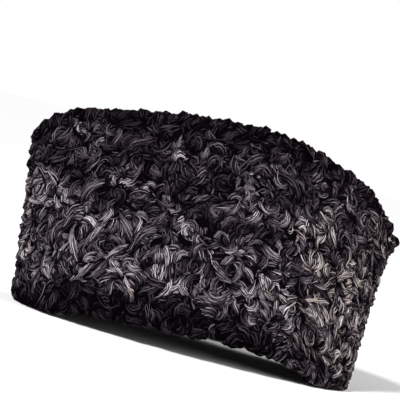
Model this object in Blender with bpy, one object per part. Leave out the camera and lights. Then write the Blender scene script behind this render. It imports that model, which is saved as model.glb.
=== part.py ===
"""Karakul cap: two curled pelt panels and a crown insert folded down between their ridges.

The front is at -X, the back at +X and the left side at -Y. The cap stands on its rim at z = 0,
and the origin is below the middle of its length and width.
"""
import math

import bmesh
import bpy
from mathutils import Vector, noise

COLLECTION_NAME = "karakul_cap"

# Rim, measured over the curls
RIM_LENGTH = 0.216
RIM_WIDTH = 0.174
RIM_ARCH = 0.0145
RIM_ARCH_LEAN = 0.28
RIM_FLAT_SHARE = 0.42

# Side outline: how far the top leans past the rim at the two seams
FRONT_OVERHANG = 0.0160
FRONT_CURVE = 0.85
BACK_LEAN = 0.0025
BACK_BEAK = 0.0030
BACK_BEAK_SHARPNESS = 8

# Panels lean in from the rim to the ridges, and close to a prow at the seams
RIDGE_WIDTH = 0.094
LEAN_SHARPNESS = 1.6
PROW_SHARPNESS = 0.9
PROW_RISE = 1.2

# Walls
WALL = 0.008
PROW_WALL = 0.013
HEM_EXTRA = 0.0015
RIDGE_ROUND_SHARE = 0.05
CROWN_WALL = 0.0065

# Crown insert: the lengthwise valley between the ridges
CROWN_TOP_SHARE = 0.945
CROWN_EDGE_SHARE = 0.890
VALLEY_DEPTH = 0.034
VALLEY_ENDS = 1.2
VALLEY_FOLD_RADIUS = 0.006
VALLEY_SIDE_BULGE = 0.0025
CROWN_END_ANGLE = math.radians(11)

# Gap between pieces that are sewn together
SEAM_GAP = 0.0003

# Rolls of curled fur, which lie down near the seams
CURL_HEIGHT = 0.0022
CURL_SPACING = 0.0125
CURL_CREST = 3.4
RIDGE_CURL = 0.6
SEAM_CALM = 0.14
CROWN_END_CALM = 0.5

# Mesh density
PANEL_STATIONS = 62
OUTER_ROWS = 22
RIDGE_ROWS = 5
CROWN_STATIONS = 42
CROWN_COLUMNS = 12

SLOPE_STEP = 0.008
MERGE_DISTANCE = 0.00002
SHARP_ANGLE = math.radians(60)

# The rim's turned edge, from its flat land up the outside: share of height, depth, curl
RIM_EDGE = (
    (0.000, 0.34, 0.0),
    (0.007, 0.10, 0.0),
    (0.022, 0.00, 0.3),
)

# The inside, from the ridge down to the hem: share of height, depth, curl
INNER_FACE = (
    (1 - RIDGE_ROUND_SHARE, 1.0, 0.0),
    (CROWN_EDGE_SHARE, 1.0, 0.0),
    (0.720, 1.0, 0.0),
    (0.520, 1.0, 0.0),
    (0.340, 1.0, 0.0),
    (0.165, 1.0, 0.0),
    (0.150, 1 + HEM_EXTRA / WALL, 0.0),
    (0.014, 1 + HEM_EXTRA / WALL, 0.0),
    (0.000, 1.0, 0.0),
)

# Height of the ridge along the cap: share of the overall length from the front peak, height
RIDGE_LINE = (
    (0.00, 0.1080),
    (0.03, 0.1165),
    (0.10, 0.1258),
    (0.20, 0.1322),
    (0.32, 0.1378),
    (0.45, 0.1420),
    (0.58, 0.1440),
    (0.68, 0.1428),
    (0.77, 0.1382),
    (0.85, 0.1318),
    (0.92, 0.1228),
    (0.97, 0.1105),
    (1.00, 0.0985),
)

FRONT_TOP = -RIM_LENGTH / 2 - FRONT_OVERHANG
BACK_TOP = RIM_LENGTH / 2 + BACK_LEAN + BACK_BEAK
MIDDLE_SHIFT = -(FRONT_TOP + BACK_TOP) / 2


def smooth_step(low, high, value):
    t = min(1.0, max(0.0, (value - low) / (high - low)))
    return t * t * (3 - 2 * t)


def ridge_height(share):
    """Height of the ridge at a share of the cap's length, on a smooth curve through RIDGE_LINE."""
    rows = RIDGE_LINE
    index = 0
    while index < len(rows) - 2 and share > rows[index + 1][0]:
        index += 1
    slopes = []
    for knot in (index, index + 1):
        before = rows[max(knot - 1, 0)]
        after = rows[min(knot + 1, len(rows) - 1)]
        slopes.append((after[1] - before[1]) / (after[0] - before[0]))
    (s0, h0), (s1, h1) = rows[index], rows[index + 1]
    width = s1 - s0
    t = min(1.0, max(0.0, (share - s0) / width))
    return (
        h0 * (1 + 2 * t) * (1 - t) ** 2
        + slopes[0] * width * t * (1 - t) ** 2
        + h1 * t * t * (3 - 2 * t)
        + slopes[1] * width * t * t * (t - 1)
    )


def rim_height(angle):
    """The rim lies flat at the front and the back, and arches up at the sides, more behind the middle."""
    lean = 1 - RIM_ARCH_LEAN * math.cos(angle)
    return RIM_ARCH * lean * smooth_step(RIM_FLAT_SHARE, 1.0, math.sin(angle))


def wall_point(angle, share, depth):
    """A point of the left panel.

    angle runs from 0 at the front seam to pi at the back seam, share from 0 at the rim to 1 at
    the ridge, and depth from 0 at the outer face to 1 at the inner face.
    """
    front = -RIM_LENGTH / 2 - FRONT_OVERHANG * share ** FRONT_CURVE
    back = RIM_LENGTH / 2 + BACK_LEAN * share + BACK_BEAK * share ** BACK_BEAK_SHARPNESS
    end_wall = WALL + (PROW_WALL - WALL) * share
    half_length = (back - front) / 2 - end_wall * depth
    lean = (RIM_WIDTH - RIDGE_WIDTH) / 2 * share ** LEAN_SHARPNESS
    half_width = RIM_WIDTH / 2 - lean - WALL * depth
    prow = 1 + PROW_SHARPNESS * share ** PROW_RISE
    x = (front + back) / 2 - half_length * math.cos(angle)
    y = -SEAM_GAP / 2 - half_width * math.sin(angle) ** prow
    rim = rim_height(angle)
    ridge = ridge_height((1 - math.cos(angle)) / 2)
    return Vector((x + MIDDLE_SHIFT, y, rim + share * (ridge - rim)))


def panel_profile():
    """The wall's closed section as (share of height, depth, curl) rows, up the outside first."""
    rows = list(RIM_EDGE)
    bottom = rows[-1][0]
    top = 1 - RIDGE_ROUND_SHARE
    for row in range(1, OUTER_ROWS + 1):
        rows.append((bottom + (top - bottom) * row / OUTER_ROWS, 0.0, 1.0))
    for row in range(1, RIDGE_ROWS + 1):
        turn = math.pi * row / (RIDGE_ROWS + 1)
        share = top + RIDGE_ROUND_SHARE * math.sin(turn)
        rows.append((share, (1 - math.cos(turn)) / 2, RIDGE_CURL))
    return rows + list(INNER_FACE)


def curl_relief(point, offset):
    """Height of the fur's rolls at a place: winding crests with sunken lines between them."""
    wander = abs(noise.noise(point / CURL_SPACING + Vector((offset, 0, 0))))
    return CURL_HEIGHT * max(-1.0, 1 - CURL_CREST * wander)


def outward(angle, share, depth):
    """The outer face's normal, from its slopes along the rim and up the panel."""
    low_angle = min(max(angle - SLOPE_STEP / 2, 0.0), math.pi - SLOPE_STEP)
    low_share = min(max(share - SLOPE_STEP / 2, 0.0), 1 - SLOPE_STEP)
    along = wall_point(low_angle + SLOPE_STEP, share, 0) - wall_point(low_angle, share, 0)
    up = wall_point(angle, low_share + SLOPE_STEP, 0) - wall_point(angle, low_share, 0)
    normal = along.cross(up).normalized()
    return normal.lerp(Vector((0, 0, 1)), min(1.0, depth)).normalized()


def bent_grid(name, columns, rows, place):
    """A Blender grid whose points are placed by place(column, row); its open ends are filled."""
    bm = bmesh.new()
    bmesh.ops.create_grid(bm, x_segments=columns - 1, y_segments=rows - 1, size=1.0)
    for vert in bm.verts:
        column = round((vert.co.x + 1) / 2 * (columns - 1))
        row = round((vert.co.y + 1) / 2 * (rows - 1))
        vert.co = place(column, row % (rows - 1))
    bmesh.ops.remove_doubles(bm, verts=bm.verts[:], dist=MERGE_DISTANCE)
    open_edges = [edge for edge in bm.edges if edge.is_boundary]
    bmesh.ops.holes_fill(bm, edges=open_edges, sides=0)
    bmesh.ops.triangulate(bm, faces=bm.faces[:], quad_method="BEAUTY", ngon_method="EAR_CLIP")
    bmesh.ops.recalc_face_normals(bm, faces=bm.faces[:])
    mesh = bpy.data.meshes.new(name)
    bm.to_mesh(mesh)
    bm.free()
    mesh.shade_smooth()
    mesh.set_sharp_from_angle(angle=SHARP_ANGLE)
    return mesh


def panel_mesh(name, side, offset):
    """One side panel: its section swept from the front seam to the back seam."""
    profile = panel_profile()

    def place(column, row):
        angle = math.pi * column / (PANEL_STATIONS - 1)
        share, depth, curl = profile[row]
        point = wall_point(angle, share, depth)
        if curl > 0:
            calm = smooth_step(0.0, SEAM_CALM, math.sin(angle))
            relief = curl_relief(point, offset) * curl * calm
            point += outward(angle, share, depth) * relief
        return Vector((point.x, -side * point.y, point.z))

    return bent_grid(name, PANEL_STATIONS, len(profile) + 1, place)


def crown_section(angle):
    """One section of the crown as points from the left edge over the top and back underneath."""
    top_edge = wall_point(angle, CROWN_TOP_SHARE, 1)
    low_edge = wall_point(angle, CROWN_EDGE_SHARE, 1)
    top_edge.y += SEAM_GAP
    low_edge.y += SEAM_GAP
    depth = VALLEY_DEPTH * math.sin(angle) ** VALLEY_ENDS

    def fall(share):
        """How far down the valley a place is, from 0 at the edge to 1 at the fold."""
        half = abs(top_edge.y)
        radius = min(VALLEY_FOLD_RADIUS, half)
        height = math.hypot(share * half, radius) - radius
        return 1 - height / (math.hypot(half, radius) - radius)

    upper, lower = [], []
    for column in range(CROWN_COLUMNS + 1):
        across = 1 - 2 * column / CROWN_COLUMNS
        share = abs(across)
        bulge = VALLEY_SIDE_BULGE * math.sin(angle) * math.sin(math.pi * share)
        z = top_edge.z - fall(share) * depth + bulge
        thick = (top_edge.z - low_edge.z) * share + CROWN_WALL * (1 - share)
        upper.append(Vector((top_edge.x, across * top_edge.y, z)))
        lower.append(Vector((low_edge.x, across * low_edge.y, z - thick)))
    return upper, lower


def crown_mesh(name, offset):
    """The crown insert: its folded section swept from peak to peak, inside the two ridges."""
    ring = 2 * (CROWN_COLUMNS + 1)
    sections = []
    for station in range(CROWN_STATIONS):
        share = station / (CROWN_STATIONS - 1)
        angle = CROWN_END_ANGLE + (math.pi - 2 * CROWN_END_ANGLE) * share
        upper, lower = crown_section(angle)
        calm = smooth_step(0.0, CROWN_END_CALM, math.sin(angle) - math.sin(CROWN_END_ANGLE))
        for column in range(1, CROWN_COLUMNS):
            point = upper[column]
            point.z += calm * curl_relief(point, offset)
        sections.append(upper + lower[::-1])

    def place(column, row):
        return sections[column][row]

    return bent_grid(name, CROWN_STATIONS, ring + 1, place)


def fur_material(name, colour, roughness):
    material = bpy.data.materials.new(name)
    material.use_nodes = True
    shader = material.node_tree.nodes["Principled BSDF"]
    shader.inputs["Base Color"].default_value = (*colour, 1)
    shader.inputs["Roughness"].default_value = roughness
    shader.inputs["Metallic"].default_value = 0
    return material


def add_piece(collection, mesh, material):
    mesh.materials.append(material)
    piece = bpy.data.objects.new(mesh.name, mesh)
    collection.objects.link(piece)
    return piece


def clear_scene():
    for old in list(bpy.data.objects):
        bpy.data.objects.remove(old, do_unlink=True)


def main():
    clear_scene()
    collection = bpy.data.collections.new(COLLECTION_NAME)
    bpy.context.scene.collection.children.link(collection)
    left = panel_mesh("side_panel_left", side=-1, offset=0.0)
    right = panel_mesh("side_panel_right", side=1, offset=7.3)
    crown = crown_mesh("crown_insert", offset=3.1)
    add_piece(collection, left, fur_material("left_fur", (0.035, 0.033, 0.038), 0.42))
    add_piece(collection, right, fur_material("right_fur", (0.035, 0.033, 0.038), 0.42))
    add_piece(collection, crown, fur_material("crown_fur", (0.026, 0.025, 0.029), 0.45))


main()
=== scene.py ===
"""Dresses the karakul cap: its pelt, and the locks and single hairs that lie over it.

The pelt is laid out flat as patches. Rolls are laid on each patch side by side along a wandering
direction, and a lock with its hairs follows every roll. Then the patch is bent into place.
"""

import math

import bmesh
import bpy
import numpy as np
from mathutils import Color, Matrix, Vector
from mathutils.kdtree import KDTree


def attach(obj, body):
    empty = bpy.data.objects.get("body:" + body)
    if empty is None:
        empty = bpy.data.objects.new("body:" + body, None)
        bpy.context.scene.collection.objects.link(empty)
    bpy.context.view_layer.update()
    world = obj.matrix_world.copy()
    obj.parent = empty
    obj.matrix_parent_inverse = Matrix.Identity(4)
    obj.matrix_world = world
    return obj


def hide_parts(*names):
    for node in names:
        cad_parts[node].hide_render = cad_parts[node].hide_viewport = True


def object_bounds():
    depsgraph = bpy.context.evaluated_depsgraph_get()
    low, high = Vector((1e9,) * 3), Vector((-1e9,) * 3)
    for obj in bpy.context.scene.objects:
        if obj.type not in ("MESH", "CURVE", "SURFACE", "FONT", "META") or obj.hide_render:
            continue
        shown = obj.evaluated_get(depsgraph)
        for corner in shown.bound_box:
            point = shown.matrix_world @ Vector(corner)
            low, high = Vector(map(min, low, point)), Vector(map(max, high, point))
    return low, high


bl_info = {
    "name": "Karakul Cap",
    "version": (1, 0, 0),
    "blender": (4, 5, 0),
    "location": "View3D > Sidebar > Karakul Cap",
    "description": "Lays a curled karakul pelt over the cap's packed solids",
    "category": "Object",
}

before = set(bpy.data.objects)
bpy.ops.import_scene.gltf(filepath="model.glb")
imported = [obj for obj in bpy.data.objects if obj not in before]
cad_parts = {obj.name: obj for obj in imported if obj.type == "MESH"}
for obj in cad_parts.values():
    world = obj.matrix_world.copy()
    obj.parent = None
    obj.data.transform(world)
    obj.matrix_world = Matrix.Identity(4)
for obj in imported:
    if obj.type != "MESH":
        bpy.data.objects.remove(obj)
CAD_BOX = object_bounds()
MM = 0.001

# Form of the cap, as the solids have it
RIM_LENGTH = 216 * MM
RIM_WIDTH = 174 * MM
RIM_ARCH = 14.5 * MM
RIM_ARCH_LEAN = 0.28
RIM_FLAT_SHARE = 0.42
FRONT_OVERHANG = 16 * MM
FRONT_CURVE = 0.85
BACK_LEAN = 2.5 * MM
BACK_BEAK = 3.0 * MM
BACK_BEAK_SHARPNESS = 8
MIDDLE_SHIFT = (FRONT_OVERHANG - BACK_LEAN - BACK_BEAK) / 2
RIDGE_WIDTH = 94 * MM
LEAN_SHARPNESS = 1.6
PROW_SHARPNESS = 0.9
PROW_RISE = 1.2
WALL = 8 * MM
PROW_WALL = 13 * MM
HEM_EXTRA = 1.5 * MM
RIDGE_ROUND_SHARE = 0.05
CROWN_WALL = 6.5 * MM
CROWN_TOP_SHARE = 0.945
VALLEY_DEPTH = 34 * MM
VALLEY_ENDS = 1.2
VALLEY_FOLD_RADIUS = 6 * MM
VALLEY_SIDE_BULGE = 2.5 * MM
CROWN_END_ANGLE = math.radians(11)
SEAM_GAP = 0.3 * MM

# Height of the ridge: share of the overall length from the front peak, height in metres
RIDGE_LINE = np.array((
    (0.00, 0.1080),
    (0.03, 0.1165),
    (0.10, 0.1258),
    (0.20, 0.1322),
    (0.32, 0.1378),
    (0.45, 0.1420),
    (0.58, 0.1440),
    (0.68, 0.1428),
    (0.77, 0.1382),
    (0.85, 0.1318),
    (0.92, 0.1228),
    (0.97, 0.1105),
    (1.00, 0.0985),
))

# The skin under the fur, from below the rim over the ridge: share of height, depth in the wall
SKIN_RIM = ((0.004, 0.72), (0.004, 0.46), (0.010, 0.34))
SKIN_LOWEST = 0.022
SKIN_DEPTH = 0.30
SKIN_ROWS = 74
SKIN_RIDGE_ROWS = 9
SKIN_RIDGE_RISE = 0.030
SKIN_END = (0.948, 0.88)
CROWN_SKIN_DEPTH = 2.4 * MM

# The inside, from the ridge down to the hem and under the rim: share of height, depth in the wall
INNER_FACE = (
    (0.950, 1.00),
    (0.890, 1.00),
    (0.720, 1.00),
    (0.520, 1.00),
    (0.340, 1.00),
    (0.190, 1.00),
    (0.165, 1.00),
    (0.155, 1 + HEM_EXTRA / WALL * 0.8),
    (0.145, 1 + HEM_EXTRA / WALL),
    (0.080, 1 + HEM_EXTRA / WALL),
    (0.014, 1 + HEM_EXTRA / WALL),
    (0.004, 1 + HEM_EXTRA / WALL * 0.6),
    (0.000, 1.00),
    (0.000, 0.80),
)

# How much longer the cap is than its hollow at the ridge
INNER_REACH = 1.13

# How far the skin stands out at the two peaks, and all the way down at the back. It does so more
# and more between these heights, these places along the cap and these distances from its middle
END_PUSH = 2.2 * MM
BACK_PUSH = 1.0 * MM
PEAK_HEIGHTS = (50 * MM, 95 * MM)
BACK_HALF = (0, 100 * MM)
END_PARTS = (60 * MM, 112 * MM)

# Bare strip left at the edges of a patch, and what the patches' random draws start from
EDGE_MARGIN = 1.6 * MM
SEEDS = {"left": 11, "right": 23, "crown": 37}
FUR_SEED = 1000

# How much smaller the rolls are at the back and larger low in front, and how uneven all over
BACK_SHRINK = 0.08
LOW_FRONT_GROWTH = 0.12
UNEVENNESS = 0.12

# Height of the pelt's swells, as a share of the rolls' height
SWELL_SHARE = 0.62

# A row of full locks: its bare ends, its locks' tones and share of hairs, the range of their
# sizes, and in millimetres how far they sway and the ranges of their lengths and distances
ROW_END = 3 * MM
ROW_TONES = (0.2, 0.6)
ROW_HAIRS = 1.3
ROW_SIZES = (0.82, 1.18)
ROW_SWAY = 3.4
ROW_LENGTHS = (7, 13)
ROW_DISTANCES = (4.6, 7.6)

# A hair's half-width at each of its rings, from root to tip, as a share of its thickness
HAIR_TAPER = np.array((0.75, 1.00, 1.00, 0.85, 0.55))
HAIR_RINGS = len(HAIR_TAPER)

# A lock's section: angle round the lock from its crest, place in its pattern
LOCK_SECTION = np.array((
    (math.radians(-96), 0.04),
    (math.radians(-48), 0.27),
    (0.0, 0.50),
    (math.radians(48), 0.73),
    (math.radians(96), 0.96),
    (math.radians(180), 0.99),
))

# A lock's rings, how far from its end the first one lies in rings, and the rings in its length
LOCK_RINGS = 11
FIRST_RING = 0.6
LOCK_SPAN = LOCK_RINGS - 1 + 2 * FIRST_RING

# Share of the hairs that run on past their lock's end, over its neighbour, away from the edges
STRAY_SHARE = 0.45
STRAY_MARGIN = 14 * MM

# Patterns of streaks, laid out on one square. Columns differ in slant, pairs of rows rise in tone
PATTERN_COLUMNS = 4
PATTERN_ROWS = 16
PATTERN_TWIST = math.radians(140)
BAKE_UV = "OFBake"

# Where the cap's back and its front peak begin along the cap, and where they are full
BACK_PART = (40 * MM, 95 * MM)
FRONT_PART = (-80 * MM, -105 * MM)

# Share of brownish fur in front, and what the back adds
WARM_SHARE = 0.10
BACK_WARM_SHARE = 0.65

# The fur's tone on the ridge, held low as painted shade, the painted light that the middle and the low
# parts add, and what painted shade leaves at the rim
RIDGE_SHADED_TONE = 0.16
MIDDLE_PAINTED_LIGHT = 0.38
LOW_PAINTED_LIGHT = 0.46
RIM_PAINTED_SHADE = 0.06
BACK_RIM_PAINTED_LIGHT = 0.20

# Strength of the tone all over, the painted light that the back adds, what the front adds, and how cloudy
# it is
SIDE_STRENGTH = 0.515
BACK_PAINTED_LIGHT = 0.555
FRONT_STRENGTH = 0.12
CLOUD_STRENGTH = 0.55

# Brightness of a lock's streaks, of the finer ones between them and of the rest
STREAK_SHINE = 9.0
FINER_SHINE = 0.7
DULL_SHINE = 0.003

# Fur has no highlight of its own, as its shine is a painted highlight in the streaks
NO_GLOSS = {"Specular IOR Level": 0.0}

# The photograph's size in pixels, where its middle lies on the cap, and what a pixel spans there
PICTURE_SIZE = 400
PICTURE_MIDDLE = Vector((-6.2 * MM, 0, 90.6 * MM))
PIXEL = 0.63 * MM

# Locks that stand out in the photograph, picked one by one: start, middle and end in its pixels, then
# width in pixels and tone in hundredths
MARKED_HAIRS = 1.8
MARKED_LOCKS = (
    (38, 218, 32, 232, 36, 246, 9, 80),
    (62, 222, 53, 234, 54, 249, 12, 78),
    (74, 226, 72, 240, 78, 262, 11, 92),
    (110, 221, 98, 232, 84, 247, 11, 86),
    (105, 181, 92, 188, 85, 200, 14, 74),
    (80, 182, 74, 187, 72, 198, 10, 60),
    (92, 170, 96, 179, 107, 191, 6, 80),
    (120, 212, 126, 223, 130, 238, 9, 72),
    (133, 218, 141, 213, 147, 222, 10, 86),
    (127, 200, 132, 203, 138, 209, 7, 76),
    (109, 240, 117, 237, 125, 246, 10, 86),
    (108, 260, 114, 252, 125, 246, 10, 82),
    (139, 250, 135, 261, 144, 268, 10, 86),
    (150, 242, 157, 237, 165, 240, 8, 84),
    (158, 244, 162, 254, 158, 266, 9, 80),
    (72, 279, 85, 269, 99, 258, 11, 86),
    (87, 278, 97, 273, 105, 263, 9, 72),
    (57, 259, 62, 250, 69, 242, 9, 76),
    (44, 256, 43, 268, 51, 281, 12, 62),
    (25, 196, 37, 203, 50, 198, 10, 76),
    (55, 192, 57, 203, 67, 208, 11, 72),
    (34, 162, 42, 167, 46, 180, 9, 68),
    (217, 263, 221, 275, 233, 285, 13, 100),
    (236, 266, 239, 274, 233, 282, 8, 78),
    (242, 289, 250, 296, 254, 286, 10, 92),
    (205, 294, 216, 300, 230, 290, 11, 88),
    (270, 289, 276, 284, 280, 294, 10, 92),
    (284, 289, 290, 284, 297, 279, 9, 80),
    (273, 317, 275, 308, 278, 300, 8, 94),
    (285, 319, 287, 306, 297, 298, 11, 90),
    (297, 297, 311, 300, 330, 304, 9, 86),
    (301, 256, 303, 265, 310, 273, 11, 92),
    (264, 248, 272, 256, 282, 258, 12, 86),
    (264, 273, 279, 271, 292, 275, 9, 80),
    (213, 238, 221, 232, 229, 241, 10, 82),
    (207, 251, 213, 259, 214, 271, 10, 80),
    (250, 245, 257, 242, 263, 246, 7, 80),
    (172, 263, 179, 254, 187, 255, 11, 86),
    (165, 246, 168, 256, 166, 269, 8, 74),
    (166, 224, 177, 235, 187, 245, 4, 92),
    (203, 222, 206, 229, 203, 237, 7, 82),
    (240, 177, 249, 172, 259, 178, 10, 76),
    (244, 166, 255, 158, 267, 158, 12, 62),
    (242, 185, 246, 191, 249, 197, 7, 76),
    (316, 191, 321, 197, 328, 195, 9, 88),
    (320, 214, 325, 220, 331, 222, 9, 76),
    (336, 285, 344, 276, 356, 272, 10, 88),
)

# The studio's lights: name, kind, place, strength, and the sun's angle or the panel's size
LIGHTS = (
    ("key", "SUN", (-0.8, -1.6, 1.5), 4.6, math.radians(10)),
    ("fill", "AREA", (1.3, -1.1, 0.45), 16, (0.5, 0.7)),
    ("rim", "AREA", (1.0, 1.1, 0.8), 14, (0.5, 0.7)),
)
LIGHT_TARGET = Vector((0, 0, 0.07))


def smooth_step(low, high, value):
    t = np.clip((value - low) / (high - low), 0, 1)
    return t * t * (3 - 2 * t)


def unit(vectors):
    return vectors / np.maximum(np.linalg.norm(vectors, axis=-1, keepdims=True), 1e-12)


def distances(points):
    """How far along a line each of its points lies."""
    steps = np.linalg.norm(np.diff(points, axis=0), axis=1)
    return np.concatenate(([0], np.cumsum(steps)))


def all_pairs(a, b):
    return np.stack(np.meshgrid(a, b, indexing="ij"), axis=-1).reshape(-1, 2)


def ridge_height(share):
    """Height of the ridge on a smooth curve through RIDGE_LINE."""
    where, height = RIDGE_LINE.T
    padded = np.concatenate(([0], np.arange(len(where)), [len(where) - 1]))
    slope = (height[padded[2:]] - height[padded[:-2]]) / (where[padded[2:]] - where[padded[:-2]])
    low = np.clip(np.searchsorted(where, share, side="right") - 1, 0, len(where) - 2)
    width = where[low + 1] - where[low]
    t = np.clip((share - where[low]) / width, 0, 1)
    return (
        height[low] * (1 + 2 * t) * (1 - t) ** 2
        + slope[low] * width * t * (1 - t) ** 2
        + height[low + 1] * t * t * (3 - 2 * t)
        + slope[low + 1] * width * t * t * (t - 1)
    )


def ridge_above(x):
    """Height of the ridge over a place along the cap."""
    return ridge_height(np.clip((x - CAD_BOX[0][0]) / (CAD_BOX[1][0] - CAD_BOX[0][0]), 0, 1))


def rim_height(angle):
    """The rim lies flat at the front and the back, and arches up at the sides, more behind the middle."""
    sine = np.clip(np.sin(angle), 0, 1)
    return RIM_ARCH * (1 - RIM_ARCH_LEAN * np.cos(angle)) * smooth_step(RIM_FLAT_SHARE, 1.0, sine)


def wall_points(angle, share, depth):
    """Points of the left panel, by angle from the front seam, share of height and depth."""
    front = -RIM_LENGTH / 2 - FRONT_OVERHANG * share ** FRONT_CURVE
    back = RIM_LENGTH / 2 + BACK_LEAN * share + BACK_BEAK * share ** BACK_BEAK_SHARPNESS
    end_wall = WALL + (PROW_WALL - WALL) * share
    half_length = (back - front) / 2 - end_wall * depth
    lean = (RIM_WIDTH - RIDGE_WIDTH) / 2 * share ** LEAN_SHARPNESS
    half_width = RIM_WIDTH / 2 - lean - WALL * depth
    prow = 1 + PROW_SHARPNESS * share ** PROW_RISE
    sine = np.clip(np.sin(angle), 0, 1)
    x = (front + back) / 2 - half_length * np.cos(angle) + MIDDLE_SHIFT
    y = -SEAM_GAP / 2 - half_width * sine ** prow
    rim = rim_height(angle)
    ridge = ridge_height((1 - np.cos(angle)) / 2)
    return np.stack(np.broadcast_arrays(x, y, rim + share * (ridge - rim)), axis=-1)


def even_row(share, depth, count, fineness=901):
    """One level of the left panel as points evenly spaced from the front seam to the back seam."""
    angle = np.linspace(0, math.pi, fineness)
    length = distances(wall_points(angle, share, depth))
    steps = np.interp(np.linspace(0, length[-1], count), length, angle)
    return wall_points(steps, share, depth)


def skin_section():
    """The skin's section as (share of height, depth) rows, from under the rim over the ridge."""
    rows = list(SKIN_RIM)
    top = 1 - RIDGE_ROUND_SHARE
    for row in range(SKIN_ROWS):
        rows.append((SKIN_LOWEST + (top - SKIN_LOWEST) * row / (SKIN_ROWS - 1), SKIN_DEPTH))
    for row in range(1, SKIN_RIDGE_ROWS + 1):
        turn = math.pi * row / SKIN_RIDGE_ROWS
        rows.append((top + SKIN_RIDGE_RISE * math.sin(turn), 0.5 - (0.5 - SKIN_DEPTH) * math.cos(turn)))
    rows.append(SKIN_END)
    return rows


class Skin:
    """A patch of pelt laid out flat, in metres, with the place in space of each of its points."""

    def __init__(self, grid, length, across, facing, rounds=8):
        self.grid = grid
        self.length = length
        self.across = across
        self.low = across[0]
        self.high = across[-1]
        normals = np.cross(np.gradient(grid, axis=0), np.gradient(grid, axis=1))
        for _ in range(rounds):
            padded = np.pad(normals, ((1, 1), (1, 1), (0, 0)), mode="edge")
            around = padded[2:, 1:-1] + padded[:-2, 1:-1] + padded[1:-1, 2:] + padded[1:-1, :-2]
            normals = around / 4 + normals
        self.normals = unit(normals) * facing

    def inside(self, a, b):
        return (a >= 0) & (a <= self.length) & (b >= self.low) & (b <= self.high)

    def sample(self, field, a, b):
        """field at places (a, b), blended between its nearest grid points."""
        count_a, count_b = field.shape[:2]
        at_a = np.clip(a / self.length, 0, 1) * (count_a - 1)
        at_b = np.interp(b, self.across, np.arange(count_b))
        ia = np.minimum(at_a.astype(int), count_a - 2)
        ib = np.minimum(at_b.astype(int), count_b - 2)
        fa = (at_a - ia)[..., None]
        fb = (at_b - ib)[..., None]
        low = field[ia, ib] * (1 - fb) + field[ia, ib + 1] * fb
        high = field[ia + 1, ib] * (1 - fb) + field[ia + 1, ib + 1] * fb
        return low * (1 - fa) + high * fa

    def place(self, a, b, height):
        """Points at a height above the skin."""
        normal = unit(self.sample(self.normals, a, b))
        return self.sample(self.grid, a, b) + normal * height[..., None]


class PanelSkin(Skin):
    """A side panel's skin. Past a seam it carries on as the other panel's."""

    def __init__(self, side, columns=281):
        section = skin_section()
        grid = np.stack([even_row(share, depth, columns) for share, depth in section], axis=1)
        x, z = grid[..., 0], grid[..., 2]
        push = END_PUSH * smooth_step(*PEAK_HEIGHTS, z) + BACK_PUSH * smooth_step(*BACK_HALF, x)
        grid[..., 0] += np.sign(x) * push * smooth_step(*END_PARTS, np.abs(x))
        if side == "right":
            grid = grid * np.array((1, -1, 1))
        length = np.linalg.norm(np.diff(grid[:, len(section) // 2], axis=0), axis=1).sum()
        across = distances(grid[columns // 2])
        super().__init__(grid, length, across, facing=1 if side == "left" else -1)

    def place(self, a, b, height):
        over = (a < 0) | (a > self.length)
        folded = np.where(a > self.length, 2 * self.length - a, np.abs(a))
        points = super().place(folded, b, height)
        points[..., 1] *= np.where(over, -1, 1)
        return points


class CrownSkin(Skin):
    """The crown's skin: a leaf laid out on both sides of its fold."""

    def __init__(self, columns=181, rows=101, reach=62 * MM, fineness=901):
        angle = np.linspace(CROWN_END_ANGLE, math.pi - CROWN_END_ANGLE, fineness)
        edge = wall_points(angle, CROWN_TOP_SHARE, 1.0)
        stations = np.linspace(edge[0, 0], edge[-1, 0], columns)
        angles = np.interp(stations, edge[:, 0], angle)
        across = np.linspace(-reach, reach, rows)
        grid = np.zeros((columns, rows, 3))
        self.half = np.zeros(columns)
        for index, turn in enumerate(angles):
            y, z, half = crown_profile(turn)
            length = np.concatenate(([0], np.cumsum(np.hypot(np.diff(y), np.diff(z)))))
            length -= np.interp(0, y, length)
            grid[index, :, 0] = stations[index]
            grid[index, :, 1] = np.interp(across, length, y)
            grid[index, :, 2] = np.interp(across, length, z) - CROWN_SKIN_DEPTH
            self.half[index] = np.interp(half, y, length)
        super().__init__(grid, stations[-1] - stations[0], across, facing=1)

    def half_at(self, a):
        """Half the crown's width, laid flat, at a place along it."""
        return np.interp(a, np.linspace(0, self.length, len(self.half)), self.half)

    def inside(self, a, b):
        return (a >= 0) & (a <= self.length) & (np.abs(b) <= self.half_at(a))


def crown_profile(angle, past=30 * MM, fineness=401):
    """The crown's upper section at a place along the cap, carried on past its two edges."""
    edge = wall_points(np.array(angle), CROWN_TOP_SHARE, 1.0)
    half = abs(edge[1]) - SEAM_GAP
    depth = VALLEY_DEPTH * math.sin(angle) ** VALLEY_ENDS
    radius = min(VALLEY_FOLD_RADIUS, half)
    y = np.linspace(-half - past, half + past, fineness)
    share = np.abs(y) / half
    rise = (np.hypot(y, radius) - radius) / (math.hypot(half, radius) - radius)
    bulge = VALLEY_SIDE_BULGE * math.sin(angle) * np.sin(math.pi * np.minimum(share, 1))
    return y, edge[2] - depth * (1 - rise) + bulge, half


class Waves:
    """A smooth random field over a patch: a sum of seeded waves."""

    def __init__(self, rng, shortest, longest, count=18):
        turn = rng.uniform(0, 2 * math.pi, count)
        wave = 2 * math.pi / rng.uniform(shortest, longest, count)
        self.run = np.stack((wave * np.cos(turn), wave * np.sin(turn)))
        self.phase = rng.uniform(0, 2 * math.pi, count)

    def __call__(self, a, b):
        run = np.multiply.outer(a, self.run[0]) + np.multiply.outer(b, self.run[1])
        return np.sin(run + self.phase).sum(axis=-1) / math.sqrt(len(self.phase) / 2)


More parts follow.
